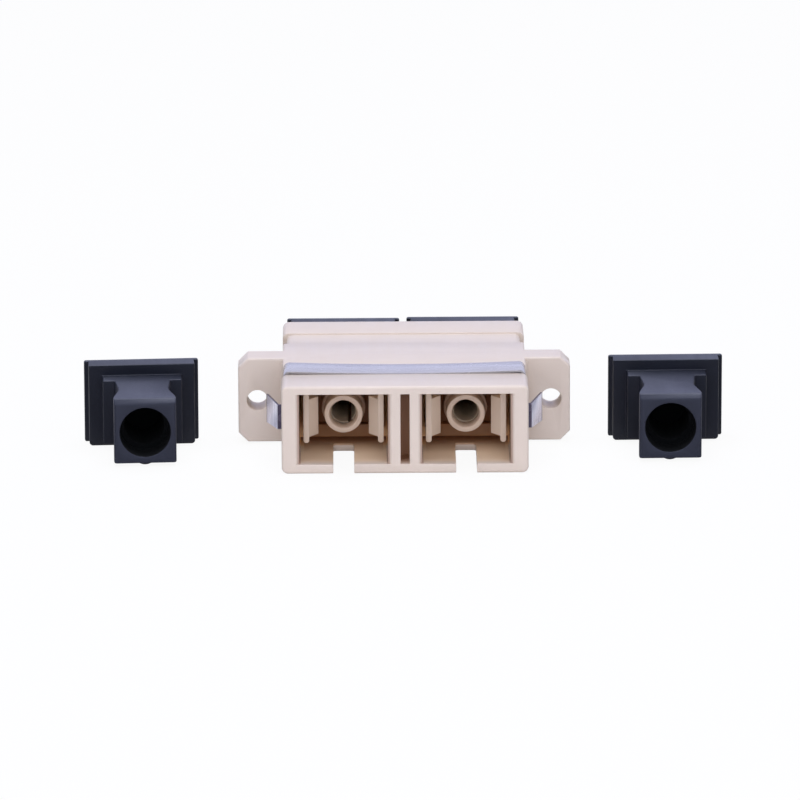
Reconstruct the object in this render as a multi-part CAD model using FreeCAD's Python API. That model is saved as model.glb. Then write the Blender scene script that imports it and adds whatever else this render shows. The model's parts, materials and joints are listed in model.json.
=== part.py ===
import FreeCAD, Part
import math
import os

from FreeCAD import Vector

# Duplex fibre adapter, in millimetres. X runs across the two ports, Y from the front
# (-Y) to the rear, Z up. The origin lies on both port axes' plane, midway between the
# ports, in the mating plane where the two housing halves are welded.

# Ports
port_width = 9.2
port_height = 7.45
partition = 3.5
lead_in = 0.35
key_slot_width = 2.17
key_slot_depth = 8.2
key_slot_corner = 0.4
centre_slot_width = 0.94
centre_slot_depth = 3.7

# Housing body
body_length = 27.2
side_wall = 1.8
top_wall = 0.85
bottom_wall = 1.0
collar_length = 5.1
groove_side_depth = 0.41
groove_top_depth = 0.2
middle_inset = 0.075
middle_corner = 0.25
corner_radius = 0.65
mouth_round = 0.3

# Flange ears
ear_height = 9.0
ear_thickness = 3.3
ear_hole_from_body = 2.6
ear_edge_from_hole = 2.0
ear_hole_diameter = 2.2
ear_corner = 1.0
ear_round = 0.25
ear_root_chamfer = 0.25

# Latch inserts: base plate, sleeve holder and two hook arms
base_height = 6.6
base_thickness = 1.5
base_side_gap = 0.15
ledge_thickness = 1.0
ledge_rise = 0.3
seat_clearance = 0.03
arm_thickness = 0.6
arm_height = 5.24
arm_wall_gap = 0.43
arm_tip_depth = 4.45
arm_chamfer = 0.16
hook_reach = 0.95
hook_height = 4.05
hook_ramp = 1.45
hook_crest = 0.2
hook_back = 0.25
window_clearance = 0.1
tube_wall = 0.33
tube_root_step = 0.27
tube_root_setback = 2.6
tube_rim = 0.47
tube_lip = 1.3
tube_lip_step = 0.34
tube_lip_draft = 0.05
tube_funnel = 0.5

# Split alignment sleeves
ferrule_diameter = 2.5
sleeve_wall = 0.35
sleeve_length = 11.4
sleeve_slit = 0.4
sleeve_clearance = 0.06
sleeve_end_play = 0.4
sleeve_slit_angles = {"left": -60.0, "right": 98.0}

# Spring panel clip
clip_thickness = 0.22
clip_width = 3.75
clip_collar_gap = 0.1
clip_seat_gap = 0.02
clip_bend = 0.55
clip_lift = 0.25
clip_leg_rise = 0.9
tab_height = 3.05
tab_root_height = 2.6
tab_slit = 0.15
tab_hinge = 0.22
tab_step = 0.62
tab_spread = 1.81
tab_end_gap = 0.05

# Dust caps
cap_gap = 0.76
cap_wing = 0.44
cap_front_plate = 1.55
cap_back_plate = 0.63
cap_top_margin = 1.14
cap_bottom_margin = 0.72
cap_plate_round = 0.2
cap_foot_chamfer = 0.22
cap_shoulder_length = 1.85
cap_shoulder_gap = 0.475
nose_side_gap = 0.335
nose_top_gap = 0.16
nose_bottom_gap = 0.38
nose_neck_flare = 0.34
nose_waist_relief = 0.055
nose_waist_lead = 1.2
nose_flank = 2.6
nose_tip = 1.2
nose_waist_round = 3.0
nose_flank_round = 3.0
nose_top_chamfer = 0.5
nose_round = 0.3
cap_hole_diameter = 5.26
cap_hole_gap = 0.1
cap_core_diameter = 4.2
cap_hole_floor = 0.4
key_rib_width = 1.9
key_rib_height = 0.42
key_rib_setback = 0.85
cap_seat_gap = 0.05
fitted_drop = {"left": 0.34, "right": 0.25}
hook_flank_gap = 0.04

# Two caps lie beside the adapter: clear space to the ear, set-back of the cap's plate
# from the adapter's front face, and turn about the vertical
loose_gap = {"left": 4.1, "right": 4.08}
loose_setback = {"left": 11.72, "right": 12.44}
loose_turn = {"left": 3.56, "right": 1.11}

# Derived places
port_pitch = port_width + partition
body_width = port_pitch + port_width + 2 * side_wall
body_top = port_height / 2 + top_wall
body_bottom = -port_height / 2 - bottom_wall
half_length = body_length / 2
front = -half_length
collar_end = front + collar_length
groove_half = body_width / 2 - groove_side_depth
groove_top = body_top - groove_top_depth
groove_bottom = body_bottom + groove_top_depth
middle_front = collar_end + clip_width + 2 * clip_collar_gap
middle_half = body_width / 2 - middle_inset
middle_top = body_top - middle_inset
middle_bottom = body_bottom + middle_inset
ear_hole_x = body_width / 2 + ear_hole_from_body
ear_edge_x = ear_hole_x + ear_edge_from_hole
ear_front = -ear_thickness / 2
pocket_depth = base_thickness + 2 * seat_clearance
base_front = -base_thickness - seat_clearance
ledge_front = -pocket_depth - ledge_thickness
arm_outer = port_width / 2 - arm_wall_gap
arm_inner = arm_outer - arm_thickness
arm_tip = front + arm_tip_depth
sleeve_outer = ferrule_diameter / 2 + sleeve_wall
chamber_radius = sleeve_outer + sleeve_clearance
tube_radius = chamber_radius + tube_wall
tube_tip = -sleeve_length / 2 - sleeve_end_play - tube_lip
nose_half = arm_inner - nose_side_gap
nose_top = port_height / 2 - nose_top_gap
nose_bottom = -port_height / 2 + nose_bottom_gap
hook_half = arm_inner - hook_reach
hook_depth = arm_tip_depth + hook_ramp + hook_crest
waist_half = hook_half - nose_waist_relief
waist_depth = hook_depth - nose_waist_lead
full_depth = waist_depth + nose_flank
nose_length = full_depth + nose_tip
flank_at_hook = waist_half + (nose_half - waist_half) * (nose_waist_lead + cap_seat_gap) / nose_flank
hook_share = (base_front - front - hook_depth) / (base_front - arm_tip)
arm_spread = (flank_at_hook + hook_flank_gap - hook_half) / hook_share
cap_top = nose_top + cap_top_margin
cap_bottom = nose_bottom - cap_bottom_margin
cap_half = (port_pitch - cap_gap) / 2
port_x = {"left": -port_pitch / 2, "right": port_pitch / 2}
side_sign = {"left": -1, "right": 1}
clearing = 1.0
along_y = Vector(0, 1, 0)
origin = Vector(0, 0, 0)


def slab(x0, x1, y0, y1, z0, z1):
    """Block between two corners."""
    return Part.makeBox(x1 - x0, y1 - y0, z1 - z0, Vector(x0, y0, z0))


def rod(radius, y0, y1, x=0.0, z=0.0):
    """Round bar along Y."""
    return Part.makeCylinder(radius, y1 - y0, Vector(x, y0, z), along_y)


def cone(radius0, radius1, y0, y1, x=0.0, z=0.0):
    """Tapered bar along Y."""
    return Part.makeCone(radius0, radius1, y1 - y0, Vector(x, y0, z), along_y)


def plan_prism(points, z0, z1):
    """Outline in plan, raised from z0 to z1."""
    corners = [Vector(x, y, z0) for x, y in points]
    outline = Part.makePolygon(corners + [corners[0]])
    return Part.Face(outline).extrude(Vector(0, 0, z1 - z0))


def runs_along(edge, direction):
    """True for a straight edge along a direction."""
    span = edge.Vertexes[-1].Point - edge.Vertexes[0].Point
    return abs(abs(span.dot(direction)) - edge.Length) < 1e-6


def lies_at_y(edge, y):
    """True for an edge that lies in one cross-section."""
    box = edge.BoundBox
    return abs(box.YMin - y) < 1e-6 and abs(box.YMax - y) < 1e-6


def rounded_bar(half_width, y0, y1, z0, z1, radius):
    """Bar along Y with its four long edges rounded."""
    bar = slab(-half_width, half_width, y0, y1, z0, z1)
    return bar.makeFillet(radius, [e for e in bar.Edges if runs_along(e, along_y)])


def ear(sign):
    """One half of a flange ear, with its outer corners cut and its front edge rounded."""
    inner = middle_half - middle_corner
    half = ear_height / 2
    outline = [(inner, -half), (ear_edge_x - ear_corner, -half), (ear_edge_x, -half + ear_corner),
               (ear_edge_x, half - ear_corner), (ear_edge_x - ear_corner, half), (inner, half)]
    corners = [Vector(sign * x, ear_front, z) for x, z in outline]
    face = Part.Face(Part.makePolygon(corners + [corners[0]]))
    plate = face.extrude(Vector(0, -ear_front, 0))
    front_edges = [e for e in plate.Edges
                   if lies_at_y(e, ear_front) and abs(e.CenterOfMass.x) > inner + 1e-6]
    plate = plate.makeFillet(ear_round, front_edges)
    hole = rod(ear_hole_diameter / 2, ear_front - clearing, clearing, sign * ear_hole_x)
    return plate.cut(hole)


def ear_root(sign):
    """Chamfer in the corner between the housing's side and the front of an ear."""
    reach = ear_height / 2 - 2 * ear_round
    foot = sign * (middle_half - middle_corner)
    root = sign * middle_half
    plan = [(foot, 0), (foot, ear_front - ear_root_chamfer), (root, ear_front - ear_root_chamfer),
            (root + sign * ear_root_chamfer, ear_front), (root + sign * ear_root_chamfer, 0)]
    return plan_prism(plan, -reach, reach)


def port_cut(x):
    """Everything that opens one port: mouth, lead-in, key slot, ledge window and insert pocket."""
    half_w = port_width / 2
    half_h = port_height / 2
    mouth = slab(-half_w, half_w, front - clearing, ledge_front, -half_h, half_h)
    wide = half_w + lead_in
    lead = plan_prism([(-wide, front), (wide, front), (half_w, front + lead_in),
                       (-half_w, front + lead_in)], -half_h, half_h)
    key = slab(-key_slot_width / 2, key_slot_width / 2, front - key_slot_corner,
               front + key_slot_depth, body_bottom - clearing, 0)
    key_ends = [e for e in key.Edges if runs_along(e, Vector(0, 0, 1)) and e.CenterOfMass.y > front]
    key = key.makeFillet(key_slot_corner, key_ends)
    slot_out = arm_outer + window_clearance
    slot_in = arm_inner - window_clearance
    slot_h = arm_height / 2 + window_clearance
    window_h = slot_h - ledge_rise
    start = ledge_front - clearing
    window = slab(-slot_out, slot_out, start, clearing, -window_h, window_h)
    arm_slots = [slab(-slot_out, -slot_in, start, clearing, -slot_h, slot_h),
                 slab(slot_in, slot_out, start, clearing, -slot_h, slot_h)]
    pocket_h = base_height / 2 + seat_clearance
    pocket = slab(-half_w, half_w, -pocket_depth, clearing, -pocket_h, pocket_h)
    cut = mouth.multiFuse([lead, key, window, pocket] + arm_slots)
    return cut.translated(Vector(x, 0, 0))


def housing_half():
    """Front half of the housing, welded to its twin in the mating plane."""
    collar = rounded_bar(body_width / 2, front, collar_end, body_bottom, body_top, corner_radius)
    collar = collar.makeFillet(mouth_round, [e for e in collar.Edges if lies_at_y(e, front)])
    core = rounded_bar(groove_half, front + mouth_round, 0, groove_bottom, groove_top, corner_radius)
    middle = rounded_bar(middle_half, middle_front, 0, middle_bottom, middle_top, middle_corner)
    outside = collar.multiFuse([core, middle, ear(-1), ear(1), ear_root(-1), ear_root(1)])
    slot = slab(-centre_slot_width / 2, centre_slot_width / 2, front - clearing,
                front + centre_slot_depth, -port_height / 2, port_height / 2)
    return outside.cut([port_cut(x) for x in port_x.values()] + [slot]).removeSplitter()


def hook_arm(sign, spread):
    """Spring arm with an inward hook; its tip stands out by spread when a cap pushes it."""
    def flexed(x, y):
        return (sign * (x + spread * (base_front - y) / (base_front - arm_tip)), y)

    root = base_front + base_thickness / 2
    bar_plan = [flexed(arm_inner, base_front), flexed(arm_inner, arm_tip),
                flexed(arm_outer, arm_tip), flexed(arm_outer, base_front),
                (sign * arm_outer, root), (sign * arm_inner, root)]
    bar = plan_prism(bar_plan, -arm_height / 2, arm_height / 2)
    middle_y = (arm_tip + base_front) / 2
    long_edges = [e for e in bar.Edges if abs(e.CenterOfMass.y - middle_y) < 1e-6]
    bar = bar.makeChamfer(arm_chamfer, long_edges)
    crest_y = arm_tip + hook_ramp
    sunk = arm_inner + arm_thickness / 2
    hook_plan = [flexed(sunk, arm_tip + arm_chamfer), flexed(arm_inner, arm_tip + arm_chamfer),
                 flexed(arm_inner - hook_reach, crest_y),
                 flexed(arm_inner - hook_reach, crest_y + hook_crest),
                 flexed(arm_inner, crest_y + hook_crest + hook_back),
                 flexed(sunk, crest_y + hook_crest + hook_back)]
    hook = plan_prism(hook_plan, -hook_height / 2, hook_height / 2)
    return bar.fuse(hook)


def latch_insert(spread):
    """Moulded insert of one port: base plate, half of the sleeve holder and two hook arms."""
    base_half = port_width / 2 - base_side_gap
    base = slab(-base_half, base_half, base_front, -seat_clearance, -base_height / 2, base_height / 2)
    root = base_front + base_thickness / 2
    tube = rod(tube_radius, tube_tip, root)
    tube_root = rod(tube_radius + tube_root_step, tube_tip + tube_root_setback, root)
    solid = base.multiFuse([tube, tube_root, hook_arm(-1, spread), hook_arm(1, spread)])
    lip_end = tube_tip + tube_lip
    lip_radius = chamber_radius - tube_lip_step
    chamber = rod(chamber_radius, lip_end, clearing)
    throat = lip_radius + tube_lip_draft
    funnel_end = tube_tip + tube_funnel
    lip_bore = cone(throat, lip_radius, funnel_end, lip_end)
    funnel = cone(tube_radius - tube_rim, throat, tube_tip, funnel_end)
    return solid.cut([chamber, lip_bore, funnel]).removeSplitter()


def split_sleeve(slit_angle):
    """Slit alignment sleeve that floats in the two holders of one channel."""
    half = sleeve_length / 2
    ring = rod(sleeve_outer, -half, half).cut(rod(ferrule_diameter / 2, -half - clearing, half + clearing))
    slit = slab(0, sleeve_outer + clearing, -half - clearing, half + clearing,
                -sleeve_slit / 2, sleeve_slit / 2)
    slit.rotate(origin, along_y, -slit_angle)
    return ring.cut(slit)


def arc_points(centre, radius, start, end):
    """Start, middle and end of an arc in the XZ plane; angles from +X towards +Z, in radians."""
    angles = (start, (start + end) / 2, end)
    return [Vector(centre.x + radius * math.cos(a), 0, centre.z + radius * math.sin(a)) for a in angles]


def clip_strip():
    """Strip folded over the housing: two legs, two bends and a back that sags to touch in the middle."""
    half = clip_thickness / 2
    leg_x = groove_half + clip_seat_gap + half
    slope = 2 * math.atan(clip_lift / (leg_x - clip_bend))
    span = leg_x - clip_bend * (1 + math.sin(slope))
    sag = span / math.sin(slope)
    back_centre = Vector(0, 0, groove_top + clip_seat_gap + half + sag)
    end_z = back_centre.z - sag * math.cos(slope)
    bend_z = end_z - clip_bend * math.cos(slope)
    left_bend = Vector(clip_bend - leg_x, 0, bend_z)
    right_bend = Vector(leg_x - clip_bend, 0, bend_z)
    down = -math.pi / 2
    foot_z = body_bottom + clip_leg_rise

    def side(offset):
        bend = clip_bend + offset
        left = arc_points(left_bend, bend, math.pi, math.pi / 2 - slope)
        back = arc_points(back_centre, sag - offset, down - slope, down + slope)
        right = arc_points(right_bend, bend, math.pi / 2 + slope, 0)
        foot_left = Vector(-leg_x - offset, 0, foot_z)
        foot_right = Vector(leg_x + offset, 0, foot_z)
        return foot_left, left, back, right, foot_right

    edges = []
    ends = []
    for offset in (half, -half):
        foot_left, left, back, right, foot_right = side(offset)
        edges.append(Part.LineSegment(foot_left, left[0]).toShape())
        edges += [Part.Arc(*arc).toShape() for arc in (left, back, right)]
        edges.append(Part.LineSegment(right[2], foot_right).toShape())
        ends.append((foot_left, foot_right))
    edges.append(Part.LineSegment(ends[0][0], ends[1][0]).toShape())
    edges.append(Part.LineSegment(ends[0][1], ends[1][1]).toShape())
    outline = Part.Wire(Part.__sortEdges__(edges))
    return Part.Face(outline).extrude(Vector(0, clip_width, 0)), leg_x


def clip_tab(leg_x, sign):
    """Tongue lanced from a leg: it steps out, then leans back and widens to a free end behind the panel."""
    half = clip_thickness / 2
    end = clip_width - tab_end_gap
    slope = (tab_spread - tab_step) / end
    across = clip_thickness * math.hypot(1, slope)
    outer = leg_x + half + tab_step
    inner = outer - across
    plan = [(leg_x - half, 0), (leg_x - half, tab_hinge), (inner + slope * tab_hinge, tab_hinge),
            (inner + slope * end, end), (outer + slope * end, end), (outer, 0)]
    tongue = plan_prism([(sign * x, y) for x, y in plan], -tab_height / 2, tab_height / 2)
    profile = [(0, -tab_root_height / 2), (end, -tab_height / 2),
               (end, tab_height / 2), (0, tab_root_height / 2)]
    corners = [Vector(0, y, z) for y, z in profile]
    side_view = Part.Face(Part.makePolygon(corners + [corners[0]]))
    return tongue.common(side_view.extrude(Vector(sign * (outer + tab_spread), 0, 0)))


def panel_clip():
    """Spring steel clip behind the front collar."""
    strip, leg_x = clip_strip()
    window_z = tab_height / 2 + tab_slit
    reach = leg_x + clip_thickness
    inner = leg_x - clip_thickness
    for sign in (-1, 1):
        low, high = sorted((sign * inner, sign * reach))
        strip = strip.cut(slab(low, high, tab_hinge, clip_width + clearing, -window_z, window_z))
        strip = strip.fuse(clip_tab(leg_x, sign))
    return strip.removeSplitter().translated(Vector(0, collar_end + clip_collar_gap, 0))


def cap_nose():
    """Nose with a waist for the latch hooks and a chamfered top edge."""
    neck_half = waist_half + nose_neck_flare
    right_side = [(neck_half, 0), (neck_half, -cap_shoulder_length), (waist_half, -waist_depth),
                  (nose_half, -full_depth), (nose_half, -nose_length)]
    left_side = [(-x, y) for x, y in reversed(right_side)]
    nose = plan_prism(right_side + left_side, nose_bottom, nose_top)
    rounds = ((-waist_depth, nose_waist_round), (-full_depth, nose_flank_round), (-nose_length, nose_round))
    for y, radius in rounds:
        uprights = [e for e in nose.Edges
                    if runs_along(e, Vector(0, 0, 1)) and abs(e.CenterOfMass.y - y) < 1e-6]
        nose = nose.makeFillet(radius, uprights)
    leg = nose_top_chamfer + 2 * clearing
    corner = Vector(-nose_half - clearing, -nose_length - clearing, nose_top + clearing)
    outline = [corner, corner - Vector(0, 0, leg), corner + Vector(0, leg, 0), corner]
    chamfer = Part.Face(Part.makePolygon(outline)).extrude(Vector(2 * (nose_half + clearing), 0, 0))
    return nose.cut(chamfer)


def key_rib():
    """Half-round rib under the nose that runs in the port's key slot."""
    half = key_rib_width / 2
    start = -nose_length + key_rib_setback
    arc = Part.Arc(Vector(-half, start, nose_bottom), Vector(0, start, nose_bottom - key_rib_height),
                   Vector(half, start, nose_bottom)).toShape()
    sunk = nose_bottom + key_rib_height
    sides = [Vector(half, start, nose_bottom), Vector(half, start, sunk), Vector(-half, start, sunk),
             Vector(-half, start, nose_bottom)]
    lines = [Part.LineSegment(a, b).toShape() for a, b in zip(sides, sides[1:])]
    section = Part.Face(Part.Wire([arc] + lines))
    return section.extrude(Vector(0, -start, 0))


def cap_hole():
    """Blind hole in the nose: wide round the sleeve holder, then narrow past the waist."""
    start = -nose_length - clearing
    wide = rod(cap_hole_diameter / 2, start, front - tube_tip + cap_hole_gap)
    return wide.fuse(rod(cap_core_diameter / 2, start, -cap_hole_floor))


def dust_cap():
    """Cap with its nose along -Y and the seat of its plate at y = 0."""
    depth = cap_front_plate + cap_back_plate
    plate = slab(cap_wing - cap_half, cap_half - cap_wing, 0, depth, cap_bottom, cap_top)
    feet = [e for e in plate.Edges if runs_along(e, along_y) and e.CenterOfMass.z < 0]
    plate = plate.makeChamfer(cap_foot_chamfer, feet)
    wings = slab(-cap_half, cap_half, cap_front_plate, depth, cap_bottom, cap_top)
    plate = plate.fuse(wings).removeSplitter()
    corners = [e for e in plate.Edges
               if runs_along(e, along_y) and abs(e.CenterOfMass.x) > cap_half - cap_wing / 2]
    plate = plate.makeFillet(cap_plate_round, corners)
    shoulder_half = port_width / 2 - cap_shoulder_gap
    shoulder = slab(-shoulder_half, shoulder_half, -cap_shoulder_length, 0, nose_bottom, nose_top)
    cap = plate.multiFuse([shoulder, cap_nose(), key_rib()])
    return cap.cut(cap_hole()).removeSplitter()


def fitted_cap(side):
    """Cap pushed into a rear port."""
    return dust_cap().translated(Vector(port_x[side], half_length + cap_seat_gap, -fitted_drop[side]))


def loose_cap(side):
    """Cap lying on the floor beside the adapter, on its plate's lower edge and its rib."""
    drop = cap_bottom_margin - key_rib_height
    tip = math.degrees(math.atan2(drop, nose_length - key_rib_setback))
    cap = dust_cap()
    cap.rotate(origin, Vector(1, 0, 0), tip)
    cap.rotate(origin, Vector(0, 0, 1), loose_turn[side])
    floor = cap.optimalBoundingBox(False, False).ZMin
    x = side_sign[side] * (ear_edge_x + loose_gap[side] + cap_half)
    return cap.translated(Vector(x, front + loose_setback[side], body_bottom - floor))


def turned(shape):
    """Front piece turned about the vertical to serve at the rear."""
    return shape.rotated(origin, Vector(0, 0, 1), 180)


def main():
    nodes = {}
    housing = housing_half()
    nodes["front_housing"] = housing
    nodes["rear_housing"] = turned(housing)
    relaxed = latch_insert(0.0)
    held_open = turned(latch_insert(arm_spread))
    for side, x in port_x.items():
        place = Vector(x, 0, 0)
        nodes["latch_insert_front_" + side] = relaxed.translated(place)
        nodes["latch_insert_rear_" + side] = held_open.translated(place)
        nodes["split_sleeve_" + side] = split_sleeve(sleeve_slit_angles[side]).translated(place)
        nodes["dust_cap_rear_" + side] = fitted_cap(side)
        nodes["dust_cap_front_" + side] = loose_cap(side)
    nodes["panel_clip"] = panel_clip()
    os.makedirs("parts", exist_ok=True)
    for name, shape in nodes.items():
        shape.exportStep("parts/" + name + ".step")


main()
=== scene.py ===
import json
import math

import bmesh
import bpy
from mathutils import Matrix, Vector


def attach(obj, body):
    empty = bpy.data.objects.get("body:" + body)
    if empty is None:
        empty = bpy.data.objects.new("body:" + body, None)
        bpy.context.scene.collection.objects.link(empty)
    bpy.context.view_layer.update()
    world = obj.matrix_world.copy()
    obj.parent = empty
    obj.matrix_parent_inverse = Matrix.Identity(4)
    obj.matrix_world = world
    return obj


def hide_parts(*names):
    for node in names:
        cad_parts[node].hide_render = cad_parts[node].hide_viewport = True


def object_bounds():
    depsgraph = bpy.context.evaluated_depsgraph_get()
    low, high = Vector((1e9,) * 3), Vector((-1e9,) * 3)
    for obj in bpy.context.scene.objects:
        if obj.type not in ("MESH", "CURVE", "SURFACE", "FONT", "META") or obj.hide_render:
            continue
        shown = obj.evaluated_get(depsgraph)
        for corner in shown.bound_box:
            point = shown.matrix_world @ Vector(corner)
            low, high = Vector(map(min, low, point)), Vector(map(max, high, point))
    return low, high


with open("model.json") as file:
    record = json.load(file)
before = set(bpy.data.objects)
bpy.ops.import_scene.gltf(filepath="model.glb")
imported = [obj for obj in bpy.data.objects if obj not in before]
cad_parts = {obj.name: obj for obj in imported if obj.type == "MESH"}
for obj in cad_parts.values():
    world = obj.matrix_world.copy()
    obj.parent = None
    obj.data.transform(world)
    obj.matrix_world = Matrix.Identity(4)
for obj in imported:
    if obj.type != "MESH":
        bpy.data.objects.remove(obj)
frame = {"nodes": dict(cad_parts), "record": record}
cad_low, cad_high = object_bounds()
scene = bpy.context.scene
scene.view_settings.view_transform = "Standard"
MM = 0.001

# Sizes of the part that the painted light and shade follow. Along Y, the mouth from the mating plane and
# the ledge
# from the mouth:
port_mouth = -cad_low.y
ledge_depth = 11.0 * MM
# Across, from the middle:
mounts = {mount["name"]: mount for mount in frame["record"]["mounts"]}
port_axis = mounts["ferrule_right"]["pos_m"][0]
port_reach = 11.3 * MM
tab_root = 12.65 * MM
tab_bend = 13.19 * MM
tab_tip = 14.3 * MM
# Off a port's axis:
port_half_height = 3.9 * MM
arm_outside = 4.12 * MM
wall_start = 4.45 * MM
wall_end = 5.2 * MM
slot_start = 5.75 * MM
# Radius and end of the wide and the narrow part of a cap's blind hole:
hole_steps = ((2.66 * MM, 2.85 * MM), (2.13 * MM, 8.48 * MM))


# Shader building blocks

def linear(red, green, blue):
    """Colour given in screen values from 0 to 255, as the linear values that shaders take."""
    def channel(value):
        value /= 255
        return value / 12.92 if value <= 0.04045 else ((value + 0.055) / 1.055) ** 2.4
    return (channel(red), channel(green), channel(blue), 1.0)


def node_group(name, inputs, outputs):
    """Empty shader group with named float, vector or colour sockets."""
    group = bpy.data.node_groups.new(name, "ShaderNodeTree")
    for label, kind, value in inputs:
        socket = group.interface.new_socket(label, in_out="INPUT", socket_type="NodeSocket" + kind)
        socket.default_value = value
    for label, kind in outputs:
        group.interface.new_socket(label, in_out="OUTPUT", socket_type="NodeSocket" + kind)
    start = group.nodes.new("NodeGroupInput")
    end = group.nodes.new("NodeGroupOutput")
    return group, start, end


def mask_group(name):
    """Empty shader group that turns a place into a mask."""
    group, start, end = node_group(name, [("Vector", "Vector", (0, 0, 0))], [("Mask", "Float")])
    return group, start.outputs["Vector"], end.inputs["Mask"]


def axes(tree, vector):
    """X, Y and Z of a vector socket."""
    node = tree.nodes.new("ShaderNodeSeparateXYZ")
    tree.links.new(vector, node.inputs["Vector"])
    return node.outputs["X"], node.outputs["Y"], node.outputs["Z"]


def stretched(tree, vector, scale):
    """Place scaled along each axis."""
    node = tree.nodes.new("ShaderNodeMapping")
    node.inputs["Scale"].default_value = scale
    tree.links.new(vector, node.inputs["Vector"])
    return node.outputs["Vector"]


def noise(tree, vector, scale, detail, roughness=0.55):
    """Noise value over a place; scale is a number or a socket."""
    node = tree.nodes.new("ShaderNodeTexNoise")
    tree.links.new(vector, node.inputs["Vector"])
    if isinstance(scale, (int, float)):
        node.inputs["Scale"].default_value = scale
    else:
        tree.links.new(scale, node.inputs["Scale"])
    node.inputs["Detail"].default_value = detail
    node.inputs["Roughness"].default_value = roughness
    return node.outputs["Fac"]


def span(tree, value, low, high, new_low=0.0, new_high=1.0):
    """Value brought from one range to another, held at its ends; ends may be sockets."""
    node = tree.nodes.new("ShaderNodeMapRange")
    tree.links.new(value, node.inputs["Value"])
    ends = (("From Min", low), ("From Max", high), ("To Min", new_low), ("To Max", new_high))
    for label, end in ends:
        if isinstance(end, (int, float)):
            node.inputs[label].default_value = end
        else:
            tree.links.new(end, node.inputs[label])
    return node.outputs["Result"]


def maths(tree, operation, first, second=0.0):
    """One sum on two values or sockets."""
    node = tree.nodes.new("ShaderNodeMath")
    node.operation = operation
    for index, value in enumerate((first, second)):
        if isinstance(value, (int, float)):
            node.inputs[index].default_value = value
        else:
            tree.links.new(value, node.inputs[index])
    return node.outputs["Value"]


def both(tree, first, second):
    """Product of two masks or values."""
    return maths(tree, "MULTIPLY", first, second)


def within(tree, value, low, high):
    """Mask of the values between two ends."""
    return both(tree, maths(tree, "GREATER_THAN", value, low), maths(tree, "LESS_THAN", value, high))


def weigh(tree, first, second, share):
    """Sum of two values, with the first one's share of the whole."""
    return maths(tree, "ADD", both(tree, first, share), both(tree, second, 1.0 - share))


def tint(tree, mask, first, second):
    """Mix of two colours, or colour sockets, by a mask."""
    node = tree.nodes.new("ShaderNodeMix")
    node.data_type = "RGBA"
    tree.links.new(mask, node.inputs["Factor"])
    for label, colour in (("A", first), ("B", second)):
        socket = [s for s in node.inputs if s.name == label and s.type == "RGBA"][0]
        if isinstance(colour, tuple):
            socket.default_value = colour
        else:
            tree.links.new(colour, socket)
    return [s for s in node.outputs if s.type == "RGBA"][0]


# Skins: tone, roughness and relief of each kind of surface

def moulded_skin():
    """Skin of a moulding: cloudy tone, spark-eroded grain and a faint flow streak."""
    cloud_scale = 260.0
    cloud_range = (0.35, 0.68)
    speck_scale = 5200.0
    speck_range = (0.66, 0.74)
    speck_share = 0.55
    streak_scale = 900.0
    streak_stretch = (1.0, 0.12, 1.0)
    polish_range = (0.35, 0.65)
    grey = (0.5, 0.5, 0.5, 1)
    group, start, end = node_group(
        "moulded_skin",
        [("Vector", "Vector", (0, 0, 0)), ("Tone", "Color", grey), ("Cloud Tone", "Color", grey),
         ("Speck Tone", "Color", grey), ("Roughness Low", "Float", 0.4),
         ("Roughness High", "Float", 0.5), ("Grain Scale", "Float", 4000.0)],
        [("Color", "Color"), ("Roughness", "Float"), ("Height", "Float")])
    where = start.outputs["Vector"]
    cloud = span(group, noise(group, where, cloud_scale, 3.0), *cloud_range)
    speck = span(group, noise(group, where, speck_scale, 2.0), *speck_range, 0.0, speck_share)
    grain = noise(group, where, start.outputs["Grain Scale"], 3.0, 0.6)
    streak = noise(group, stretched(group, where, streak_stretch), streak_scale, 2.0)
    clouded = tint(group, cloud, start.outputs["Tone"], start.outputs["Cloud Tone"])
    specked = tint(group, speck, clouded, start.outputs["Speck Tone"])
    polish = span(group, weigh(group, streak, grain, 0.6), *polish_range,
                  start.outputs["Roughness Low"], start.outputs["Roughness High"])
    group.links.new(specked, end.inputs["Color"])
    group.links.new(polish, end.inputs["Roughness"])
    group.links.new(weigh(group, grain, streak, 0.7), end.inputs["Height"])
    return group


def rolled_metal():
    """Skin of rolled or drawn metal: long fine lines across one axis, with cloudy tarnish."""
    line_scale = 9000.0
    line_stretch = (0.03, 1.0, 0.03)
    line_range = (0.3, 0.7)
    cloud_scale = 320.0
    dull_range = (0.38, 0.64)
    group, start, end = node_group(
        "rolled_metal",
        [("Vector", "Vector", (0, 0, 0)), ("Bright Tone", "Color", (0.6, 0.6, 0.6, 1)),
         ("Dull Tone", "Color", (0.5, 0.5, 0.5, 1)), ("Roughness Low", "Float", 0.2),
         ("Roughness High", "Float", 0.4)],
        [("Color", "Color"), ("Roughness", "Float"), ("Height", "Float")])
    where = start.outputs["Vector"]
    lines = noise(group, stretched(group, where, line_stretch), line_scale, 3.0, 0.7)
    cloud = noise(group, where, cloud_scale, 3.0)
    dull = span(group, weigh(group, cloud, lines, 0.7), *dull_range)
    toned = tint(group, dull, start.outputs["Bright Tone"], start.outputs["Dull Tone"])
    polish = span(group, lines, *line_range,
                  start.outputs["Roughness Low"], start.outputs["Roughness High"])
    group.links.new(toned, end.inputs["Color"])
    group.links.new(polish, end.inputs["Roughness"])
    group.links.new(lines, end.inputs["Height"])
    return group


# Zones: masks of the places where light and shade are painted into the tone

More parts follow.
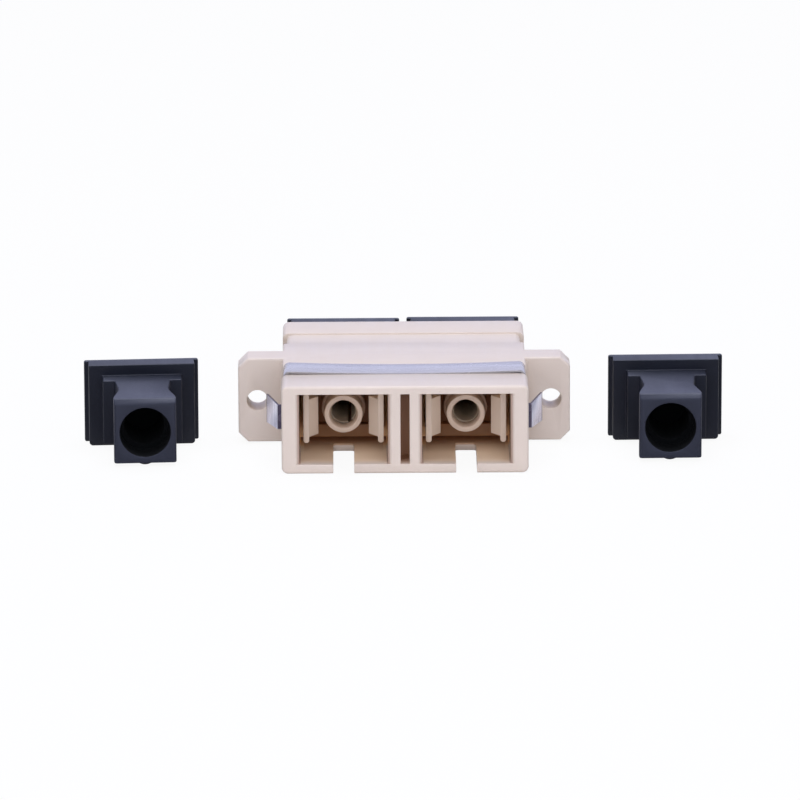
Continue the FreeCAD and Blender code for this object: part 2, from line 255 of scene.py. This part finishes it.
def port_zone(name, grows):
    """Mask in the ports and the centre slot, by depth and distance off a port's axis; it carries painted
    light and shade.
    """
    group, where, mask = mask_group(name)
    x, y, z = (maths(group, "ABSOLUTE", axis) for axis in axes(group, where))
    depth = maths(group, "SUBTRACT", port_mouth, y)
    off_axis = maths(group, "ABSOLUTE", maths(group, "SUBTRACT", x, port_axis))
    inside = both(group, maths(group, "LESS_THAN", x, port_reach),
                  maths(group, "LESS_THAN", z, port_half_height))
    group.links.new(both(group, inside, grows(group, depth, off_axis)), mask)
    return group


def deep_end(group, depth, off_axis):
    """Painted shade, growing towards the ports' ends, between the latch arms, and sooner in the centre
    slot.
    """
    port_fade = (4.0 * MM, 11.5 * MM)
    port_curve = 1.3
    slot_fade = (0.2 * MM, 2.4 * MM)
    slot_share = 0.8
    in_port = maths(group, "LESS_THAN", off_axis, arm_outside)
    port = maths(group, "POWER", span(group, depth, *port_fade), port_curve)
    in_slot = maths(group, "GREATER_THAN", off_axis, slot_start)
    slot = span(group, depth, *slot_fade, 0.0, slot_share)
    return maths(group, "MAXIMUM", both(group, in_port, port), both(group, in_slot, slot))


def arm_gap(group, depth, off_axis):
    """Painted bounce light, growing along the gaps between the latch arms and the side walls."""
    fade = (7.0 * MM, 9.0 * MM)
    in_gap = within(group, off_axis, arm_outside, wall_end)
    return both(group, in_gap, span(group, depth, *fade))


def mouth_floor(group, depth, off_axis):
    """Painted warm light, growing over the first stretch of the ports' floors and roofs."""
    fade = (0.3 * MM, 1.6 * MM)
    between_walls = maths(group, "LESS_THAN", off_axis, wall_start)
    return both(group, between_walls, span(group, depth, *fade))


def floor_end(group, depth, off_axis):
    """Painted shade, growing over the last stretch of the floors and roofs, up to the ledges of the
    inserts.
    """
    fade = (7.5 * MM, 10.5 * MM)
    between_walls = maths(group, "LESS_THAN", off_axis, wall_start)
    before_ledge = maths(group, "LESS_THAN", depth, ledge_depth)
    return both(group, both(group, between_walls, before_ledge), span(group, depth, *fade))


def mouth_flank(group, depth, off_axis):
    """Painted shade over the ports' side walls, fading out before the latch arms' roots."""
    lip = (0.12 * MM, 0.2 * MM)
    fade = (4.0 * MM, 8.0 * MM)
    at_wall = within(group, off_axis, wall_start, wall_end)
    begins = span(group, depth, *lip)
    ends = span(group, depth, *fade, 1.0, 0.0)
    return both(group, at_wall, both(group, begins, ends))


def across_zone(name, low, high):
    """Mask of what lies between two distances to the left or right of the middle."""
    group, where, mask = mask_group(name)
    x = maths(group, "ABSOLUTE", axes(group, where)[0])
    group.links.new(within(group, x, low, high), mask)
    return group


def tab_edges():
    """Mask of the clip tabs' upper and lower cut edges, which carry painted shade."""
    least_rise = 0.5
    group, where, mask = mask_group("tab_edges")
    surface = group.nodes.new("ShaderNodeNewGeometry")
    x = maths(group, "ABSOLUTE", axes(group, where)[0])
    rise = maths(group, "ABSOLUTE", axes(group, surface.outputs["True Normal"])[2])
    group.links.new(both(group, maths(group, "GREATER_THAN", x, tab_root),
                         maths(group, "GREATER_THAN", rise, least_rise)), mask)
    return group


def stepped_hole(name, mouth, slope_x, slope_z):
    """Mask of a cap's blind hole along Y, about an axis through the middle of its mouth, where near-black
    shade is painted.
    """
    group, where, mask = mask_group(name)
    x, y, z = (maths(group, "SUBTRACT", axis, middle)
               for axis, middle in zip(axes(group, where), mouth))
    across = maths(group, "SUBTRACT", x, both(group, y, slope_x))
    above = maths(group, "SUBTRACT", z, both(group, y, slope_z))
    reach = maths(group, "SQRT", maths(group, "ADD", both(group, across, across),
                                       both(group, above, above)))
    runs = [both(group, maths(group, "LESS_THAN", reach, radius),
                 maths(group, "LESS_THAN", y, end)) for radius, end in hole_steps]
    group.links.new(maths(group, "MAXIMUM", *runs), mask)
    return group


def painted_nose_light():
    """Mask that grows along the loose caps' noses towards their tips, which get painted light."""
    nose_tip = -9.5 * MM
    nose_root = -3.0 * MM
    group, where, mask = mask_group("painted_nose_light")
    group.links.new(span(group, axes(group, where)[1], nose_root, nose_tip), mask)
    return group


# Materials

def finish_material(name, group, values, bump, bump_distance, metallic=0.0, specular=0.5,
                    zones=(), dull_zones=()):
    """Material fed by a skin on object coordinates; zones carry painted light and shade, and dull ones no
    polish.
    """
    material = bpy.data.materials.new(name)
    material.use_nodes = True
    tree = material.node_tree
    shader = tree.nodes["Principled BSDF"]
    place = tree.nodes.new("ShaderNodeTexCoord").outputs["Object"]
    surface = tree.nodes.new("ShaderNodeGroup")
    surface.node_tree = group
    tree.links.new(place, surface.inputs["Vector"])
    for label, value in values.items():
        surface.inputs[label].default_value = value
    relief = tree.nodes.new("ShaderNodeBump")
    relief.inputs["Strength"].default_value = bump
    relief.inputs["Distance"].default_value = bump_distance
    tree.links.new(surface.outputs["Height"], relief.inputs["Height"])
    colour = surface.outputs["Color"]
    polish = surface.outputs["Roughness"]
    for mask, tone in (*zones, *dull_zones):
        zone = tree.nodes.new("ShaderNodeGroup")
        zone.node_tree = mask
        tree.links.new(place, zone.inputs["Vector"])
        colour = tint(tree, zone.outputs["Mask"], colour, tone)
        if (mask, tone) in dull_zones:
            polish = span(tree, zone.outputs["Mask"], 0.0, 1.0, polish, 1.0)
    tree.links.new(colour, shader.inputs["Base Color"])
    tree.links.new(polish, shader.inputs["Roughness"])
    tree.links.new(relief.outputs["Normal"], shader.inputs["Normal"])
    shader.inputs["Metallic"].default_value = metallic
    shader.inputs["Specular IOR Level"].default_value = specular
    return material


skin = moulded_skin()
metal = rolled_metal()
# Masks of painted light and shade in the ports: shade deep inside, bounce light beside the latch arms,
# warm light near the mouths, shade at the floors' ends and on the side walls.
deep_shade_zone = port_zone("port_deep_end", deep_end)
gap_light_zone = port_zone("port_arm_gap", arm_gap)
floor_light_zone = port_zone("port_mouth_floor", mouth_floor)
floor_end_shade_zone = port_zone("port_floor_end", floor_end)
flank_shade_zone = port_zone("port_mouth_flank", mouth_flank)
# The clip tabs' root steps carry painted shade, their tongues a painted pale reflection, and their cut
# edges painted shade.
tab_step_shade_zone = across_zone("tab_step", tab_root, tab_bend)
tab_tongue_light_zone = across_zone("tab_tongue", tab_bend, tab_tip)
tab_edge_shade_zone = tab_edges()
# The loose caps' blind holes get painted near-black shade.
left_hole = stepped_hole("left_cap_hole", mouth=(-26.88 * MM, -10.56 * MM, -1.0 * MM),
                         slope_x=-0.0622, slope_z=0.0383)
right_hole = stepped_hole("right_cap_hole", mouth=(27.565 * MM, -9.85 * MM, -1.0 * MM),
                          slope_x=-0.0194, slope_z=0.0382)
# The loose caps' nose tips get painted light.
nose_light_zone = painted_nose_light()

# Painted bounce light for the gaps beside the latch arms.
gap_bounce_light = linear(255, 208, 150)
# Painted near-black shade for the caps' blind holes.
hole_shade = linear(8, 10, 11)
finishes = {
    "housing_plastic": finish_material(
        "beige_moulding", skin,
        {"Tone": linear(222, 206, 188), "Cloud Tone": linear(219, 203, 185),
         "Speck Tone": linear(213, 195, 176), "Roughness Low": 0.36, "Roughness High": 0.46,
         "Grain Scale": 4200.0},
        bump=0.12, bump_distance=0.02 * MM,
        # Painted warm light near the mouths, painted shade on the side walls, painted bounce light beside
        # the latch arms, and painted shade deep in the ports and at the floors' ends.
        zones=[(floor_light_zone, linear(236, 211, 178)), (flank_shade_zone, linear(192, 168, 150)),
               (gap_light_zone, gap_bounce_light), (deep_shade_zone, linear(184, 126, 74)),
               (floor_end_shade_zone, linear(128, 76, 40))]),
    "insert_plastic": finish_material(
        "beige_insert", skin,
        {"Tone": linear(235, 217, 194), "Cloud Tone": linear(232, 214, 191),
         "Speck Tone": linear(224, 205, 181), "Roughness Low": 0.38, "Roughness High": 0.48,
         "Grain Scale": 4600.0},
        bump=0.1, bump_distance=0.02 * MM,
        # Painted bounce light beside the latch arms and painted shade deep in the ports.
        zones=[(gap_light_zone, gap_bounce_light), (deep_shade_zone, linear(156, 102, 58))]),
    "sleeve_metal": finish_material(
        "bronze_sleeve", metal,
        {"Bright Tone": linear(205, 188, 162), "Dull Tone": linear(186, 168, 142),
         "Roughness Low": 0.38, "Roughness High": 0.52},
        bump=0.08, bump_distance=0.01 * MM, metallic=0.4),
    "clip_steel": finish_material(
        "rolled_spring_steel", metal,
        {"Bright Tone": linear(186, 182, 180), "Dull Tone": linear(180, 176, 175),
         "Roughness Low": 0.25, "Roughness High": 0.28},
        bump=0.01, bump_distance=0.01 * MM, metallic=0.45,
        # Painted shade on the tabs' root steps, a painted pale reflection on their tongues, and painted
        # shade on their cut edges.
        zones=[(tab_step_shade_zone, linear(104, 97, 113)),
               (tab_tongue_light_zone, linear(240, 238, 250)),
               (tab_edge_shade_zone, linear(84, 79, 96))]),
    "cap_plastic": finish_material(
        "black_cap_moulding", skin,
        {"Tone": linear(21, 25, 36), "Cloud Tone": linear(19, 23, 33),
         "Speck Tone": linear(31, 35, 47), "Roughness Low": 0.42, "Roughness High": 0.5,
         "Grain Scale": 3600.0},
        bump=0.2, bump_distance=0.025 * MM, specular=0.55,
        # Painted light on the loose caps' nose tips.
        zones=[(nose_light_zone, linear(42, 45, 57))],
        # Painted near-black shade in the loose caps' blind holes, with no polish.
        dull_zones=[(left_hole, hole_shade), (right_hole, hole_shade)]),
}


# Pieces: each CAD solid with its fine edges broken, as moulds and presses leave them

def broken_edges(node, slot, body, width):
    """Copy of a CAD solid, merged, with its sharp edges rounded; the welded plane stays closed."""
    merge_distance = 0.0002 * MM
    flat_angle = math.radians(0.5)
    sharp_angle = math.radians(32)
    weld_distance = 0.001 * MM
    mesh = frame["nodes"][node].data.copy()
    mesh.name = node + "_form"
    solid = bmesh.new()
    solid.from_mesh(mesh)
    bmesh.ops.remove_doubles(solid, verts=solid.verts, dist=merge_distance)
    bmesh.ops.dissolve_limit(solid, angle_limit=flat_angle, verts=solid.verts, edges=solid.edges)
    bmesh.ops.recalc_face_normals(solid, faces=solid.faces)
    weight = solid.edges.layers.float.new("bevel_weight_edge")
    for edge in solid.edges:
        welded = "housing" in node and all(abs(vertex.co.y) < weld_distance for vertex in edge.verts)
        if welded:
            edge.smooth = False
        elif edge.calc_face_angle(0.0) > sharp_angle:
            edge[weight] = 1.0
    for face in solid.faces:
        face.smooth = True
    solid.to_mesh(mesh)
    solid.free()
    mesh.materials.clear()
    mesh.materials.append(finishes[slot])
    piece = bpy.data.objects.new(node + "_form", mesh)
    scene.collection.objects.link(piece)
    bevel = piece.modifiers.new("broken_edges", "BEVEL")
    bevel.limit_method = "WEIGHT"
    bevel.width = width
    bevel.segments = 2
    bevel.use_clamp_overlap = False
    bevel.harden_normals = True
    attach(piece, body)
    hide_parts(node)


edge_break = {"housing_plastic": 0.06 * MM, "insert_plastic": 0.06 * MM, "sleeve_metal": 0.04 * MM,
              "clip_steel": 0.02 * MM, "cap_plastic": 0.13 * MM}
node_slot = {part["node"]: part["material_slot"] for part in frame["record"]["subparts"]}
for body, nodes in frame["record"]["behaviour"]["bodies"].items():
    for node in nodes:
        slot = node_slot[node]
        broken_edges(node, slot, body, edge_break[slot])


# Floor, light and camera

def pale_floor():
    """Plain floor under the part; the camera sees it near white with a faint shadow, and mirrors see it
    white behind the part and dim in front of it, a painted dim room.
    """
    size = 3.0
    height = cad_low.z
    white = (1, 1, 1, 1)
    pale = (0.85, 0.85, 0.85, 1)
    matt = 0.9
    dim_front = (0.16, 0.15, 0.18, 1)
    dim_end = -6 * MM
    white_start = 12 * MM
    seen_white = 0.93
    mesh = bpy.data.meshes.new("floor")
    corners = [(-size, -size, height), (size, -size, height),
               (size, size, height), (-size, size, height)]
    mesh.from_pydata(corners, [], [(0, 1, 2, 3)])
    floor = bpy.data.objects.new("floor", mesh)
    scene.collection.objects.link(floor)
    material = bpy.data.materials.new("pale_floor")
    material.use_nodes = True
    tree = material.node_tree
    shader = tree.nodes["Principled BSDF"]
    shader.inputs["Base Color"].default_value = pale
    shader.inputs["Roughness"].default_value = matt
    glow = tree.nodes.new("ShaderNodeEmission")
    path = tree.nodes.new("ShaderNodeLightPath")
    seen = maths(tree, "MAXIMUM", path.outputs["Is Camera Ray"], path.outputs["Is Glossy Ray"])
    seen = maths(tree, "MAXIMUM", seen, path.outputs["Is Transmission Ray"])
    place = tree.nodes.new("ShaderNodeNewGeometry").outputs["Position"]
    behind = span(tree, axes(tree, place)[1], dim_end, white_start)
    mirrored = tint(tree, behind, dim_front, white)
    tree.links.new(tint(tree, path.outputs["Is Glossy Ray"], white, mirrored), glow.inputs["Color"])
    mixed = tree.nodes.new("ShaderNodeMixShader")
    tree.links.new(both(tree, seen, seen_white), mixed.inputs["Fac"])
    tree.links.new(shader.outputs["BSDF"], mixed.inputs[1])
    tree.links.new(glow.outputs["Emission"], mixed.inputs[2])
    tree.links.new(mixed.outputs["Shader"], tree.nodes["Material Output"].inputs["Surface"])
    mesh.materials.append(material)


def soft_sky():
    """Even light from all round; mirrors see a cool bright backdrop behind and a dim room in front."""
    sky_tone = (0.95, 0.97, 1.1, 1)
    sky_strength = 0.16
    dim_room = (0.2, 0.2, 0.23, 1)
    room_end = -0.15
    backdrop = (0.88, 0.93, 1.32, 1)
    backdrop_start = 0.5
    world = bpy.data.worlds.new("soft_sky")
    scene.world = world
    world.use_nodes = True
    tree = world.node_tree
    light = tree.nodes["Background"]
    light.inputs["Color"].default_value = sky_tone
    light.inputs["Strength"].default_value = sky_strength
    toward = tree.nodes.new("ShaderNodeTexCoord").outputs["Generated"]
    behind = span(tree, axes(tree, toward)[1], room_end, backdrop_start)
    mirrored = tree.nodes.new("ShaderNodeBackground")
    tree.links.new(tint(tree, behind, dim_room, backdrop), mirrored.inputs["Color"])
    white = tree.nodes.new("ShaderNodeBackground")
    white.inputs["Color"].default_value = (1, 1, 1, 1)
    path = tree.nodes.new("ShaderNodeLightPath")
    glossy = tree.nodes.new("ShaderNodeMixShader")
    tree.links.new(path.outputs["Is Glossy Ray"], glossy.inputs["Fac"])
    tree.links.new(light.outputs["Background"], glossy.inputs[1])
    tree.links.new(mirrored.outputs["Background"], glossy.inputs[2])
    seen = tree.nodes.new("ShaderNodeMixShader")
    seen_through = maths(tree, "MAXIMUM", path.outputs["Is Camera Ray"],
                         path.outputs["Is Transmission Ray"])
    tree.links.new(seen_through, seen.inputs["Fac"])
    tree.links.new(glossy.outputs["Shader"], seen.inputs[1])
    tree.links.new(white.outputs["Background"], seen.inputs[2])
    tree.links.new(seen.outputs["Shader"], tree.nodes["World Output"].inputs["Surface"])


def soft_box(name, place, width, height, power, colour, mirrored=True):
    """Soft box at a place, aimed at the part; shiny faces may be kept from mirroring it."""
    lamp = bpy.data.lights.new(name, "AREA")
    lamp.shape = "RECTANGLE"
    lamp.size = width
    lamp.size_y = height
    lamp.energy = power
    lamp.color = colour
    box = bpy.data.objects.new(name, lamp)
    box.location = place
    box.visible_glossy = mirrored
    box.rotation_euler = (-Vector(place)).to_track_quat("-Z", "Y").to_euler()
    scene.collection.objects.link(box)


def photo_camera():
    """Camera fitted to the part's edges in the photograph, looking down on the open ports."""
    elevation = math.radians(15.0)
    azimuth = 0.0060
    roll = 0.0045
    distance = 0.81958
    focal_pixels = 7817.6
    image_width = 800
    target = Vector((-0.4279, 0, -0.5024)) * MM
    forward = Vector((math.sin(azimuth) * math.cos(elevation),
                      math.cos(azimuth) * math.cos(elevation), -math.sin(elevation)))
    right = Vector((math.cos(azimuth), -math.sin(azimuth), 0))
    up = right.cross(forward)
    across = right * math.cos(roll) - up * math.sin(roll)
    above = right * math.sin(roll) + up * math.cos(roll)
    data = bpy.data.cameras.new("photo_camera")
    data.sensor_width = 36.0
    data.lens = focal_pixels * data.sensor_width / image_width
    data.clip_start = 0.01
    data.clip_end = 20
    camera = bpy.data.objects.new("photo_camera", data)
    turn = Matrix((across, above, -forward)).transposed().to_4x4()
    camera.matrix_world = Matrix.Translation(target - forward * distance) @ turn
    scene.collection.objects.link(camera)
    scene.camera = camera


pale_floor()
soft_sky()
soft_box("top_box", place=(0.0, 0.03, 0.6), width=0.5, height=0.5, power=2.75, colour=(0.94, 0.98, 1.2))
panel_distance = 0.62
panel_elevation = math.radians(22)
panel_place = (0.0, -panel_distance * math.cos(panel_elevation),
               panel_distance * math.sin(panel_elevation))
soft_box("front_panel", panel_place, width=1.3, height=0.9, power=5.2, colour=(0.97, 0.99, 1.14),
         mirrored=False)
photo_camera()
